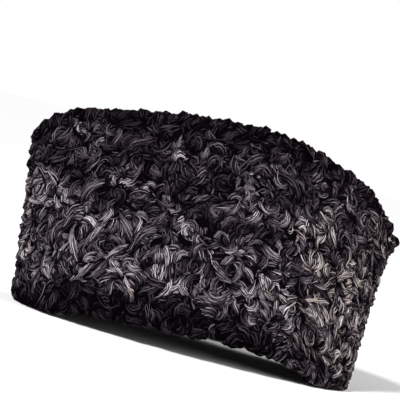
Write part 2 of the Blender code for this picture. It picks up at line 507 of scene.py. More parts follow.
class RollPlan:
    """Rolls laid over a patch side by side, each a winding line of points a step apart."""

    STEP = 1.0 * MM
    MOST_POINTS = 40000

    # How strongly a roll turns with the fur at each step, and how far it curls, in degrees a step
    PULL = 0.04
    CURLS = (3.0, 16.0)

    # How far seeds lie apart and from other rolls, as shares of the spacing
    SEED_PITCH = 0.42
    SEED_ROOM = 0.90

    def __init__(self, skin, rng, swirl):
        self.skin = skin
        self.rng = rng
        self.lean = [Waves(rng, swirl * 0.8, swirl * 1.9) for _ in range(2)]
        self.grain = Waves(rng, 25 * MM, 70 * MM)
        self.points = np.zeros((self.MOST_POINTS, 2))
        self.count = 0
        self.rolls = []

    def direction(self, place):
        turn = 0.5 * math.atan2(self.lean[0](*place), self.lean[1](*place))
        return np.array((math.cos(turn), math.sin(turn)))

    def scale(self, place):
        """How large the rolls are at a place."""
        x, _, z = self.skin.sample(self.skin.grid, *np.array(place)[:, None])[0]
        back = smooth_step(45 * MM, 95 * MM, x)
        low_front = smooth_step(20 * MM, -60 * MM, x) * smooth_step(95 * MM, 45 * MM, z)
        uneven = 1 + UNEVENNESS * float(self.grain(*place))
        return (1 - BACK_SHRINK * back + LOW_FRONT_GROWTH * low_front) * uneven

    def room(self, place):
        """Distance from a place to the nearest roll."""
        if not self.count:
            return math.inf
        gap = self.points[:self.count] - place
        return math.sqrt(np.einsum("ij,ij->i", gap, gap).min())

    def trace(self, start, heading, length, clear, curl):
        """Follows the fur's direction from a start, while it curls to one side by curl a step."""
        line = []
        place = start
        while len(line) * self.STEP < length:
            turn = self.direction(place)
            turn = turn if turn @ heading > 0 else -turn
            curled = heading[0] - heading[1] * curl, heading[1] + heading[0] * curl
            heading = unit(np.array(curled) + turn * self.PULL)
            place = place + heading * self.STEP
            if not self.skin.inside(*place) or self.room(place) < clear:
                break
            line.append(place)
        return line

    def keep(self, line, scale, tone, hairs):
        """Takes a line as a roll, with its scale, its lowest and highest tone and its share of hairs."""
        self.block(line)
        self.rolls.append({"line": line, "scale": scale, "tone": tone, "hairs": hairs})

    def block(self, points):
        """Keeps later rolls off a line."""
        self.points[self.count:self.count + len(points)] = points
        self.count += len(points)

    def follow(self, places, scale, tone, hairs, fineness=40):
        """Lays one roll on a smooth curve through three places."""
        t = np.linspace(0, 1, fineness)[:, None]
        start, middle, end = places
        curve = start * (1 - t) * (1 - 2 * t) + middle * 4 * t * (1 - t) + end * t * (2 * t - 1)
        length = distances(curve)
        steps = np.arange(0, length[-1], self.STEP)
        line = np.stack([np.interp(steps, length, axis) for axis in curve.T], axis=-1)
        self.keep(line, scale, tone, hairs)

    def lay(self, spacing, closest, shortest, longest, size, tone, hairs):
        """Fills what is still free with rolls whose middles lie a spacing apart."""
        skin, rng = self.skin, self.rng
        pitch = spacing * self.SEED_PITCH
        a = np.arange(EDGE_MARGIN, skin.length - EDGE_MARGIN, pitch)
        b = np.arange(skin.low + EDGE_MARGIN, skin.high - EDGE_MARGIN, pitch)
        seeds = all_pairs(a, b)
        seeds = seeds + rng.uniform(-0.5, 0.5, seeds.shape) * pitch
        for seed in seeds[rng.permutation(len(seeds))]:
            wanted = rng.uniform(shortest, longest)
            if not skin.inside(*seed):
                continue
            scale = self.scale(seed)
            if self.room(seed) < spacing * scale * self.SEED_ROOM:
                continue
            turn = rng.normal(0, 0.5)
            along = self.direction(seed)
            heading = along * math.cos(turn) + np.array((-along[1], along[0])) * math.sin(turn)
            clear = closest * scale
            curl = rng.choice((-1, 1)) * math.radians(rng.uniform(*self.CURLS)) / scale
            hook = curl * rng.choice((-1, 1), p=(0.35, 0.65))
            ahead = self.trace(seed, heading, wanted * scale / 2, clear, curl)
            behind = self.trace(seed, -heading, wanted * scale / 2, clear, -hook)
            line = np.array(behind[::-1] + [seed] + ahead)
            if (len(line) - 1) * self.STEP < shortest / 2:
                continue
            self.keep(line, scale * size, (0.30 * tone, tone), hairs)


class Lock:
    """One bulging lock along a roll's line, its hairs drawn together at both ends."""

    # Steps by which a lock runs past its roll's line at each end
    OVERRUN = 4

    # How locks differ: in width, height, tilt to one side and fullness towards root and tip
    WIDTHS = (0.80, 1.15)
    HEIGHTS = (0.75, 1.25)
    TILTS = (-0.30, 0.30)
    ROOTS = (0.28, 0.45)
    TIPS = (0.35, 0.65)

    # How far down the underside reaches, as a share of the height
    UNDERSIDE = -0.5

    # Hairs: angle to either side of the crest, start, run, end, and a stray one's further run
    HAIR_ANGLE = 0.95
    HAIR_STARTS = (0.04, 0.40)
    HAIR_RUNS = (0.35, 0.75)
    HAIR_END = 0.96
    STRAY_RUNS = (0.15, 0.38)

    # How hairs scatter and sway round the lock, and how high they stand and arch in millimetres
    HAIR_SCATTER = 0.20
    HAIR_SWAY = 0.16
    HAIR_LEAST_LIFT = 0.06
    HAIR_LIFT = 0.10
    HAIR_ARCH = 0.25

    def __init__(self, roll, rng, fur):
        line = roll["line"]
        if rng.random() < 0.5:
            line = line[::-1]
        first, last = unit(line[1] - line[0]), unit(line[-1] - line[-2])
        reach = np.arange(1, self.OVERRUN + 1)[:, None] * RollPlan.STEP
        self.path = np.concatenate((line[0] - first * reach[::-1], line, line[-1] + last * reach))
        self.where = np.linspace(0, 1, len(self.path))
        self.slope = unit(np.gradient(self.path, axis=0))
        scale = roll["scale"]
        self.wide = fur.roll_width / 2 * scale * rng.uniform(*self.WIDTHS)
        self.tall = fur.roll_height * scale ** 0.6 * rng.uniform(*self.HEIGHTS)
        self.tilt = rng.uniform(*self.TILTS)
        self.column = rng.integers(PATTERN_COLUMNS)
        self.twist = (self.column * 2 / (PATTERN_COLUMNS - 1) - 1) * PATTERN_TWIST
        self.tone = rng.uniform(*roll["tone"])
        self.root, self.tip = rng.uniform(*self.ROOTS), rng.uniform(*self.TIPS)

    def body(self):
        """The lock's rings, as flat places and heights."""
        turn = ((np.arange(LOCK_RINGS) + FIRST_RING) / LOCK_SPAN)[:, None]
        angle = LOCK_SECTION[:, 0]
        crest = self.root / (self.root + self.tip)
        full = (turn / crest) ** self.root * ((1 - turn) / (1 - crest)) ** self.tip
        across = np.sin(angle) * (self.wide * full)
        height = np.maximum(np.cos(angle), self.UNDERSIDE) * (self.tall * full)
        height = height + self.tilt * self.tall * full * np.sin(angle)
        lines = (*self.path.T, *self.slope.T)
        path_a, path_b, slope_a, slope_b = (np.interp(turn, self.where, line) for line in lines)
        return np.stack((path_a - slope_b * across, path_b + slope_a * across, height), axis=-1)

    def hairs(self, rng, count, strays):
        """Single hairs along the lock: share of its length, angle round it, height over it, and painted
        light that is brightest for hairs on the lock's crest.
        """
        angle = np.linspace(-self.HAIR_ANGLE, self.HAIR_ANGLE, count)
        angle = angle + rng.normal(0, self.HAIR_SCATTER, count)
        start = rng.uniform(*self.HAIR_STARTS, count)
        end = np.clip(start + rng.uniform(*self.HAIR_RUNS, count), 0, self.HAIR_END)
        end = end + (rng.random(count) < strays) * rng.uniform(*self.STRAY_RUNS, count)
        turn = start[:, None] + (end - start)[:, None] * np.linspace(0, 1, HAIR_RINGS)
        angle = angle[:, None] + self.twist * (turn - 0.5)
        sway = rng.normal(0, self.HAIR_SWAY, count)[:, None]
        angle = angle + sway * np.sin(2 * math.pi * turn + rng.uniform(0, 6))
        lift = (self.HAIR_LEAST_LIFT + np.abs(rng.normal(0, self.HAIR_LIFT, count)))[:, None] * MM
        lift = lift + self.HAIR_ARCH * MM * rng.random(count)[:, None] * np.sin(math.pi * turn)
        # Painted light, brightest on the lock's crest, with painted shade towards its sides
        return turn, angle, lift, np.exp(-(angle.mean(axis=1) / 0.8) ** 2)


def on_bodies(rings, turn, angle, lift):
    """Places over the locks' finished bodies, one lock a row, and the way out from each.

    Past a lock's last ring a hair runs straight ahead and sinks a little.
    """
    row = np.arange(len(rings))[:, None]
    wanted = turn * LOCK_SPAN - FIRST_RING
    level = np.clip(wanted, 0, LOCK_RINGS - 1.001)
    facet = np.interp(angle, LOCK_SECTION[:-1, 0], np.arange(len(LOCK_SECTION) - 1))
    facet = np.minimum(facet, len(LOCK_SECTION) - 2.001)
    i, j = level.astype(int), facet.astype(int)
    f, g = (level - i)[..., None], (facet - j)[..., None]
    low = rings[row, i, j] * (1 - g) + rings[row, i, j + 1] * g
    high = rings[row, i + 1, j] * (1 - g) + rings[row, i + 1, j + 1] * g
    middle = rings.mean(axis=2)
    point = low * (1 - f) + high * f
    outward = unit(point - middle[row, i] * (1 - f) - middle[row, i + 1] * f)
    ahead = middle[:, -1] - middle[:, -3]
    crest = rings[:, LOCK_RINGS // 2, 2] - middle[:, LOCK_RINGS // 2]
    past = (wanted - level)[..., None]
    point = point + past * (ahead * 0.5)[:, None] + (1 - np.exp(-past * 0.5)) * crest[:, None]
    return point + outward * lift[..., None], outward


def keep_off_floor(points):
    """Presses hairs that would reach below the rim's land flat on it."""
    soft, least = 1.6 * MM, 0.35 * MM
    z = points[..., 2]
    pressed = least + (soft - least) * np.exp((z - soft) / (soft - least))
    points[..., 2] = np.where(z < soft, pressed, z)
    return points


def mesh_of_tubes(name, rings, root, tip, u, v):
    """Joins many like tubes, each drawn to a point at both ends, into one mesh with a bake's UV map.

    rings is by tube, ring and corner. root and tip are the end points. u and v are by tube and
    vertex, with the rings' corners first and the two end points last.
    """
    tubes, levels, corners = rings.shape[:3]
    per_tube = levels * corners + 2
    verts = np.concatenate((rings.reshape(tubes, -1, 3), root[:, None], tip[:, None]), axis=1)
    corner = np.arange(corners)
    after = (corner + 1) % corners
    level = np.arange(levels - 1)[:, None] * corners
    quads = np.stack((level + corner, level + after, level + corners + after, level + corners + corner), -1)
    last = (levels - 1) * corners
    root_fan = np.stack((after, corner, np.full(corners, per_tube - 2)), axis=-1)
    tip_fan = np.stack((last + corner, last + after, np.full(corners, per_tube - 1)), axis=-1)
    one = np.concatenate((quads.ravel(), root_fan.ravel(), tip_fan.ravel()))
    loops = (one[None] + (np.arange(tubes) * per_tube)[:, None]).ravel()
    sizes = np.tile([4] * (quads.size // 4) + [3] * (2 * corners), tubes)

    mesh = bpy.data.meshes.new(name)
    mesh.vertices.add(len(verts) * per_tube)
    mesh.vertices.foreach_set("co", verts.astype(np.float32).ravel())
    mesh.loops.add(len(loops))
    mesh.loops.foreach_set("vertex_index", loops.astype(np.int32))
    mesh.polygons.add(len(sizes))
    mesh.polygons.foreach_set("loop_start", np.concatenate(([0], np.cumsum(sizes)[:-1])).astype(np.int32))
    mesh.polygons.foreach_set("use_smooth", np.ones(len(sizes), bool))
    mesh.update(calc_edges=True)
    uv = np.stack((u, v), axis=-1).reshape(-1, 2)
    mesh.uv_layers.new(name=BAKE_UV).data.foreach_set("uv", uv[loops].astype(np.float32).ravel())
    return mesh


def hair_mesh(name, centre, outward, thick, tone, warm):
    """Three-sided hairs as one mesh, with their length and their tone, painted light and shade included, in
    the bake's UV map.
    """
    rings = centre.shape[1]
    tangent = unit(np.gradient(centre, axis=1))
    out = unit(outward - (outward * tangent).sum(-1, keepdims=True) * tangent)
    side = np.cross(tangent, out)
    size = (thick[:, None] * HAIR_TAPER)[..., None]
    corners = np.stack((
        centre + out * size * 0.85,
        centre - out * size * 0.40 + side * size,
        centre - out * size * 0.40 - side * size,
    ), axis=2)
    root = centre[:, 0] - tangent[:, 0] * size[:, 0]
    tip = centre[:, -1] + tangent[:, -1] * size[:, -1] * 3.0
    u = np.append(np.repeat((np.arange(rings) + 1) / (rings + 1), 3), (0, 1))
    shift = np.append(np.tile((0.004, 0.0, -0.004), rings), (0, 0))
    band = 0.5 * warm + 0.02 + 0.46 * np.clip(tone, 0, 1)
    u, v = np.broadcast_arrays(u, band[:, None] + shift)
    return mesh_of_tubes(name, corners, root, tip, u, v)


def lock_mesh(name, rings, column, tone, warm):
    """Locks as one mesh, each with its place in the square of patterns."""
    levels, corners = rings.shape[1:3]
    middle = rings.mean(axis=2)
    root = middle[:, 0] + (middle[:, 0] - middle[:, 1]) * 0.5
    tip = middle[:, -1] + (middle[:, -1] - middle[:, -2]) * 0.7
    along = np.append(np.repeat((np.arange(levels) + 1) / (levels + 1), corners), (0, 1))
    across = np.append(np.tile(LOCK_SECTION[:, 1], levels), (0.5, 0.5))
    pairs = PATTERN_ROWS // 2
    row = 2 * np.clip(np.floor(tone * pairs), 0, pairs - 1) + warm
    u = (column[:, None] + 0.02 + 0.96 * along) / PATTERN_COLUMNS
    v = (row[:, None] + across) / PATTERN_ROWS
    return mesh_of_tubes(name, rings, root, tip, u, v)


class Value:
    """A shader socket that Python's operators can do sums on."""

    def __init__(self, recipe, socket):
        self.recipe = recipe
        self.socket = socket

    def maths(self, operation, first, second):
        return self.recipe.node("ShaderNodeMath", {"operation": operation}, {0: first, 1: second})

    def __add__(self, other):
        return self.maths("ADD", self, other)

    def __radd__(self, other):
        return self.maths("ADD", other, self)

    def __sub__(self, other):
        return self.maths("SUBTRACT", self, other)

    def __rsub__(self, other):
        return self.maths("SUBTRACT", other, self)

    def __mul__(self, other):
        return self.maths("MULTIPLY", self, other)

    def __rmul__(self, other):
        return self.maths("MULTIPLY", other, self)

    def __truediv__(self, other):
        return self.maths("DIVIDE", self, other)

    def __pow__(self, other):
        return self.maths("POWER", self, other)

    def __mod__(self, other):
        return self.maths("MODULO", self, other)

    def __gt__(self, other):
        return self.maths("GREATER_THAN", self, other)


class Recipe:
    """A material or a world made node by node."""

    def __init__(self, name, is_world=False):
        self.made = (bpy.data.worlds if is_world else bpy.data.materials).new(name)
        self.made.use_nodes = True
        self.tree = self.made.node_tree
        self.tree.nodes.clear()

    def node(self, kind, settings=None, inputs=None, output=0):
        """Any node: its settings first, then the values, colours or links of its sockets."""
        node = self.tree.nodes.new(kind)
        for key, setting in (settings or {}).items():
            setattr(node, key, setting)
        for key, given in (inputs or {}).items():
            if isinstance(given, Value):
                self.tree.links.new(given.socket, node.inputs[key])
            else:
                node.inputs[key].default_value = (*given, 1) if isinstance(given, Color) else given
        return Value(self, node.outputs[output]) if node.outputs else node

    def mix(self, factor, first, second):
        """Blends two colours."""
        return self.node("ShaderNodeMix", {"data_type": "RGBA"}, {0: factor, 6: first, 7: second}, output=2)

    def vector(self, x, y, z):
        return self.node("ShaderNodeCombineXYZ", None, {0: x, 1: y, 2: z})

    def noise(self, place, scale, detail, roughness=0.5):
        inputs = {"Vector": place, "Scale": scale, "Detail": detail, "Roughness": roughness}
        return self.node("ShaderNodeTexNoise", None, inputs)

    def bump(self, height, strength, distance):
        inputs = {"Height": height, "Strength": strength, "Distance": distance}
        return self.node("ShaderNodeBump", None, inputs)

    def object_place(self):
        return self.node("ShaderNodeTexCoord", output=3)

    def bake_place(self):
        """The two coordinates of the bake's UV map."""
        place = self.node("ShaderNodeUVMap", {"uv_map": BAKE_UV})
        return [self.node("ShaderNodeSeparateXYZ", None, {0: place}, output=axis) for axis in (0, 1)]

    def finish(self, colour, roughness, **others):
        """Ends the recipe in a Principled shader and returns the material."""
        inputs = {"Base Color": colour, "Roughness": roughness, **others}
        shader = self.node("ShaderNodeBsdfPrincipled", None, inputs)
        self.node("ShaderNodeOutputMaterial", None, {"Surface": shader})
        return self.made


def hair_colour(recipe, light, warm, fur):
    """Colour of hair by how light it is: black, then a violet dusk, then a cool or a warm grey."""
    lights = recipe.mix(warm, fur.cool_light, fur.warm_light)
    lights = recipe.mix(light ** 0.5 * 2, fur.dusk, lights)
    return recipe.mix(light, fur.black, lights)


def hair_material(fur):
    """A single hair: black at the root and the tip as painted shade, and in between a tone of grey that is
    partly its own and partly painted light, brightest midway as a painted highlight.
    """
    recipe = Recipe("karakul_hair")
    along, band = recipe.bake_place()
    warm = band > 0.5
    tone = band * 2 - warm
    # Painted highlight midway along the hair, painted shade towards its root and tip
    painted_crest_light = (along * (1 - along) * 4) ** 1.5
    light = tone * (0.03 + painted_crest_light * 0.97)
    return recipe.finish(hair_colour(recipe, light, warm, fur), 0.6, **NO_GLOSS)


def streak_material(fur):
    """Streaks of light and dark hair along a lock, from a square of patterns, with a painted highlight
    along the lock's middle and painted shade at its ends and sides.
    """
    recipe = Recipe("karakul_streaks")
    u, v = recipe.bake_place()
    x = u * PATTERN_COLUMNS
    y = v * PATTERN_ROWS
    along = x % 1
    across = y % 1
    column = x - along
    row = y - across
    warm = row % 2
    level = (row - warm) / (PATTERN_ROWS - 2)
    slant = (column * (2 / (PATTERN_COLUMNS - 1)) - 1) * (PATTERN_TWIST / math.pi)
    lane = across - slant * (along - 0.5)
    cell = column * 3.1 + row * 5.3
    wave = recipe.noise(recipe.vector(along * 2.4, lane * 2.0, cell), 1.0, 1.0)

    def strands(count, bend, seed):
        """Strands side by side, each with its own brightness, which also changes along it in patches of
        painted highlight.
        """
        run = (lane + wave * bend + 4) * count
        across_one = run % 1
        number = run - across_one + seed
        key = recipe.vector(number, cell, 0.0)
        own = recipe.node("ShaderNodeTexWhiteNoise", {"noise_dimensions": "3D"}, {"Vector": key})
        patch = recipe.noise(recipe.vector(along * 4.5, number * 7.7, cell), 1.0, 0.0)
        shine = recipe.node("ShaderNodeMapRange", {"interpolation_type": "SMOOTHSTEP"},
                            {"Value": patch, "From Min": 0.34, "From Max": 0.60})
        return (across_one * (1 - across_one) * 4) ** 5.0 * own ** 1.3 * shine

    streak = strands(fur.streaks, bend=0.40, seed=0.0)
    finer = strands(fur.streaks * 1.6, bend=0.30, seed=50.0)
    # Painted highlight midway along the lock, painted shade at its ends
    bent = along ** (column * 0.25 + 0.65)
    painted_crest_light = (bent * (1 - bent) * 4) ** 3.2
    # Painted shade at the lock's two sides
    edge = (across * (1 - across) * 4) ** 2.4
    # Tone from the pattern's row, which carries the patch's painted light and shade
    tone = 0.004 + level ** fur.tone_spread * 0.70
    shone = tone * (streak * STREAK_SHINE + finer * FINER_SHINE + DULL_SHINE) * painted_crest_light * edge
    light = shone / (shone * 0.85 + 1)
    normal = recipe.bump(streak, strength=0.5, distance=0.0004)
    return recipe.finish(hair_colour(recipe, light, warm, fur), 0.6, Normal=normal, **NO_GLOSS)


def underfur_material(fur):
    """The dark, matted underfur between the rolls."""
    recipe = Recipe("karakul_underfur")
    place = recipe.object_place()
    fuzz = recipe.noise(place, 900.0, 3.0, roughness=0.6)
    strand = recipe.noise(place, 260.0, 2.0)
    normal = recipe.bump(fuzz + strand, strength=0.7, distance=0.0006)
    return recipe.finish(recipe.mix(fuzz, fur.black, fur.underfur), 0.9, Normal=normal, **NO_GLOSS)


def inside_material(fur):
    """The back of the pelt: plain dark suede."""
    recipe = Recipe("pelt_back")
    place = recipe.object_place()
    nap = recipe.noise(place, 420.0, 4.0)
    cloud = recipe.noise(place, 34.0, 3.0)
    colour = recipe.mix(cloud * 0.6 + nap * 0.4, fur.inside_dark, fur.inside_light)
    return recipe.finish(colour, 0.85, Normal=recipe.bump(nap + cloud, strength=0.35, distance=0.0004))


def add_piece(name, mesh, materials):
    """Puts a finished mesh in the scene and lets it ride with the cap."""
    for material in materials:
        mesh.materials.append(material)
    piece = bpy.data.objects.new(name, mesh)
    bpy.context.scene.collection.objects.link(piece)
    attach(piece, "root")
    return piece


def lay_row(plan, rng, start, along, length, scales):
    """Lays a row of full locks side by side, each across the row's line, and keeps others off it."""
    start, along = np.array(start), np.array(along)
    aside = np.array((-along[1], along[0]))
    at = ROW_END
    while at < length - ROW_END:
        scale = np.interp(at / length, (0, 0.15, 0.85, 1), scales)
        run = rng.uniform(*ROW_LENGTHS) * MM
        sway = rng.uniform(-ROW_SWAY, ROW_SWAY, 3)[:, None] * MM
        places = start + along * (at + sway) + aside * (run * np.array((-0.5, 0, 0.5)))[:, None]
        plan.follow(places, scale * rng.uniform(*ROW_SIZES), ROW_TONES, ROW_HAIRS)
        at += scale * rng.uniform(*ROW_DISTANCES) * MM
    plan.block(start + along * np.arange(0, length, plan.STEP)[:, None])


def lay_rows(plan, rng, side):
    """Rows of full locks over the ridge and one seam, which give the cap its scalloped outline."""
    skin = plan.skin
    crest = skin.across[skin.grid[len(skin.grid) // 2, :, 2].argmax()]
    lay_row(plan, rng, (2 * MM, crest), (1.0, 0.0), skin.length - 4 * MM, scales=(1.4, 1.2, 1.2, 1.4))
    seam = 0.0 if side == "left" else skin.length
    lay_row(plan, rng, (seam, 5 * MM), (0.0, 1.0), crest - 2 * MM, scales=(0.9, 0.9, 0.9, 1.7))


def follow_marks(plan, fur):
    """Lays the locks that stand out in the photograph where it shows them."""
    skin = plan.skin
    step = 0.5 * MM
    flat = all_pairs(np.arange(0, skin.length, step), np.arange(skin.low, skin.high, step))
    points = skin.place(flat[:, 0], flat[:, 1], np.full(len(flat), fur.roll_height / 2))
    # Places on the far side are moved out of the picture
    seen = in_picture(points) + np.where(points[:, 1:2] > 0, PICTURE_SIZE, 0)
    for *pixels, width, tone in MARKED_LOCKS:
        places = [flat[((seen - pixel) ** 2).sum(axis=1).argmin()] for pixel in np.reshape(pixels, (3, 2))]
        plan.follow(places, width * PIXEL / fur.roll_width, (tone / 100, tone / 100), MARKED_HAIRS)


# The patches laid out so far, by name
PLANS = {}


def patch_plan(name, fur):
    """A patch's skin with its rolls laid out, full ones first. The pelt and the fur share it."""
    if name not in PLANS:
        rng = np.random.default_rng(SEEDS[name])
        skin = CrownSkin() if name == "crown" else PanelSkin(name)
        plan = RollPlan(skin, rng, fur.swirl)
        if name == "left":
            follow_marks(plan, fur)
        if name != "crown":
            lay_rows(plan, rng, name)
        plan.lay(fur.roll_spacing, closest=3.8 * MM, shortest=7 * MM, longest=18 * MM,
                 size=1.0, tone=1.0, hairs=0.86)
        plan.lay(fur.roll_spacing * 0.52, closest=1.3 * MM, shortest=4 * MM, longest=9 * MM,
                 size=0.85, tone=0.75, hairs=0.24)
        PLANS[name] = plan
    return PLANS[name]


def roll_swell(plan, a, b, fur):
    """How high the pelt swells under the rolls at places (a, b)."""
    tree = KDTree(plan.count)
    for index in range(plan.count):
        tree.insert((*plan.points[index], 0), index)
    tree.balance()
    gap = np.array([tree.find((x, y, 0))[2] for x, y in zip(a.ravel(), b.ravel())]).reshape(a.shape)
    return fur.roll_height * SWELL_SHARE * np.sqrt(np.clip(1 - (gap / (fur.roll_width / 2)) ** 2, 0, 1))


def closed_sweep(name, rings):
    """A closed solid through rings[station][point], made from a Blender grid."""
    stations, points = rings.shape[:2]
    bm = bmesh.new()
    bmesh.ops.create_grid(bm, x_segments=stations - 1, y_segments=points, size=1.0)
    for vert in bm.verts:
        station = round((vert.co.x + 1) / 2 * (stations - 1))
        point = round((vert.co.y + 1) / 2 * points) % points
        vert.co = rings[station, point]
    bmesh.ops.remove_doubles(bm, verts=bm.verts[:], dist=0.01 * MM)
    open_edges = [edge for edge in bm.edges if edge.is_boundary]
    bmesh.ops.holes_fill(bm, edges=open_edges, sides=0)
    bmesh.ops.triangulate(bm, faces=[face for face in bm.faces if len(face.verts) > 4])
    bmesh.ops.recalc_face_normals(bm, faces=bm.faces[:])
    mesh = bpy.data.meshes.new(name)
    bm.to_mesh(mesh)
    bm.free()
    mesh.shade_smooth()
    return mesh


def mark_inside(mesh, is_inside):
    """Gives the second material to the faces that is_inside accepts by middle and normal."""
    for face in mesh.polygons:
        face.material_index = 1 if is_inside(face.center, face.normal) else 0


def panel_pelt(side, fur, columns=171):
    """A side panel's pelt: swollen under its rolls outside, plain inside, with its turned hem."""
    plan = patch_plan(side, fur)
    skin = plan.skin
    a, b = np.meshgrid(np.linspace(0, skin.length, columns), skin.across, indexing="ij")
    seam = np.minimum(a, skin.length - a)
    swell = roll_swell(plan, a, b, fur) * smooth_step(0, 4 * MM, seam) * smooth_step(0, 3 * MM, b)
    outer = keep_off_floor(skin.place(a, b, swell))
    mirror = np.array((1, 1 if side == "left" else -1, 1))
    inner = np.stack([even_row(share, depth, columns) * mirror for share, depth in INNER_FACE], axis=1)
    mesh = closed_sweep(f"pelt_{side}", np.concatenate((outer, inner), axis=1))

    def is_inside(centre, normal):
        """Faces that look inward below the crown's edge, or down at the floor."""
        inward = Vector((MIDDLE_SHIFT - centre.x, -centre.y, 0)).normalized()
        under_crown = centre.z < (CROWN_TOP_SHARE - 0.02) * ridge_above(centre.x * INNER_REACH)
        return normal.dot(inward) > 0.25 and under_crown or normal.z < -0.9

    mark_inside(mesh, is_inside)
    return mesh


def crown_pelt(fur, columns=121, points=41):
    """The crown's pelt: swollen under its rolls on top, plain below."""
    plan = patch_plan("crown", fur)
    skin = plan.skin
    stations = np.linspace(0, skin.length, columns)
    half = skin.half_at(stations)
    b = np.linspace(-half, half, points, axis=1)
    a = np.broadcast_to(stations[:, None], b.shape)
    swell = roll_swell(plan, a, b, fur) * smooth_step(0, 3 * MM, half[:, None] - np.abs(b))
    upper = skin.place(a, b, swell)
    lower = skin.place(a, b, np.full(b.shape, CROWN_SKIN_DEPTH - CROWN_WALL))
    mesh = closed_sweep("pelt_crown", np.concatenate((upper, lower[:, ::-1]), axis=1))
    mark_inside(mesh, lambda centre, normal: normal.z < 0)
    return mesh


def tone_and_painted_light_at(points, cloud):
    """The fur's painted light and shade: painted shade darkens it at the ridge and the rim, painted light
    makes it lightest low down and brighter at the back, with a random cloudy tone over all.
    """
    x, z = points[:, 0], points[:, 2]
    back = smooth_step(*BACK_PART, x)
    front = smooth_step(*FRONT_PART, x)
    below = ridge_above(x) - z
    above = z - rim_height(np.arccos(np.clip((MIDDLE_SHIFT - x) / (RIM_LENGTH / 2), -1, 1)))
    # Painted shade at the ridge, with painted light added down the middle and low down
    tone = RIDGE_SHADED_TONE + MIDDLE_PAINTED_LIGHT * smooth_step(6 * MM, 48 * MM, below)
    tone = tone + LOW_PAINTED_LIGHT * smooth_step(95 * MM, 55 * MM, z)
    # Painted shade towards the rim, lighter at the back
    rim = RIM_PAINTED_SHADE + BACK_RIM_PAINTED_LIGHT * back
    tone = tone * (rim + (1 - rim) * smooth_step(6 * MM, (32 - 14 * back) * MM, above))
    # Strength all over, with painted light added at the back
    tone = tone * (SIDE_STRENGTH + BACK_PAINTED_LIGHT * back + FRONT_STRENGTH * front)
    return np.clip(tone * np.exp(CLOUD_STRENGTH * cloud(x, z)), 0, 1)


def is_warm(points, rng):
    """Picks the brownish ones: few in front, three quarters of them at the back."""
    share = WARM_SHARE + BACK_WARM_SHARE * smooth_step(*BACK_PART, points[:, 0])
    return (rng.random(len(points)) < share).astype(float)


def lay_fur(name, fur):
    """A patch's locks and hairs, bent into place, and where along the patch each hair lies."""
    plan = patch_plan(name, fur)
    skin = plan.skin
    rng = np.random.default_rng(FUR_SEED + len(name))
    locks = [Lock(roll, rng, fur) for roll in plan.rolls]
    counts = np.array([round(roll["hairs"] * fur.hairs_on_lock) for roll in plan.rolls])
    a, b = np.array([lock.path[-1] for lock in locks]).T
    to_seams = np.minimum(a, skin.length - a)
    to_rims = np.minimum(b - skin.low + 6 * MM, skin.high - b - 8 * MM)
    strays = STRAY_SHARE * (np.minimum(to_seams, to_rims) > STRAY_MARGIN)
    hairs = [lock.hairs(rng, *row) for lock, *row in zip(locks, counts, strays)]
    turn, angle, lift, crest = (np.concatenate(parts) for parts in zip(*hairs))
    bodies = np.array([lock.body() for lock in locks])
    columns = np.array([lock.column for lock in locks])
    tones = np.array([lock.tone for lock in locks])
    cloud = Waves(rng, 16 * MM, 50 * MM)
    rings = keep_off_floor(skin.place(bodies[..., 0], bodies[..., 1], bodies[..., 2]))
    centre, outward = on_bodies(np.repeat(rings, counts, axis=0), turn, angle, lift)
    centre = keep_off_floor(centre)
    hair_middle, lock_middle = centre.mean(axis=1), rings.mean(axis=(1, 2))
    # A hair's tone: random, times painted light from its lock's crest, then times the patch's painted light
    # and shade
    tone = rng.random(len(centre)) ** 3.0 * (0.01 + 4.0 * np.repeat(tones, counts) ** 1.2 * crest)
    tone = tone * tone_and_painted_light_at(hair_middle, cloud)
    thick = fur.hair_width / 2 * rng.uniform(0.75, 1.25, len(centre))
    hair_rows = (centre, outward, thick, tone, is_warm(hair_middle, rng))
    # A lock's tone: random, times the patch's painted light and shade
    lock_tone = tones * tone_and_painted_light_at(lock_middle, cloud) ** (1 / fur.tone_spread)
    lock_rows = (rings, columns, lock_tone, is_warm(lock_middle, rng))
    along = np.repeat(bodies[:, LOCK_RINGS // 2, 0, 0], counts) / skin.length
    return lock_rows, hair_rows, along


def add_fur(patch, parts, fur):
    """Adds a patch's locks, and their hairs in parts of equal length along the patch."""
    lock_rows, hair_rows, along = lay_fur(patch, fur)
    name = f"locks_{patch}"
    add_piece(name, lock_mesh(name, *lock_rows), [streak_material(fur)])
    hair = hair_material(fur)
    part_of = np.clip((along * len(parts)).astype(int), 0, len(parts) - 1)
    for number, part in enumerate(parts):
        name = f"hairs_{patch}{part}"
        mesh = hair_mesh(name, *(row[part_of == number] for row in hair_rows))
        add_piece(name, mesh, [hair])


def size_property(name, description, default, low, high, precision=4):
    return bpy.props.FloatProperty(
        name=name, description=description, default=default, min=low, max=high,
        unit="LENGTH", precision=precision)


def colour_property(name, description, *default):
    return bpy.props.FloatVectorProperty(
        name=name, description=description, default=default, min=0, max=1, subtype="COLOR")


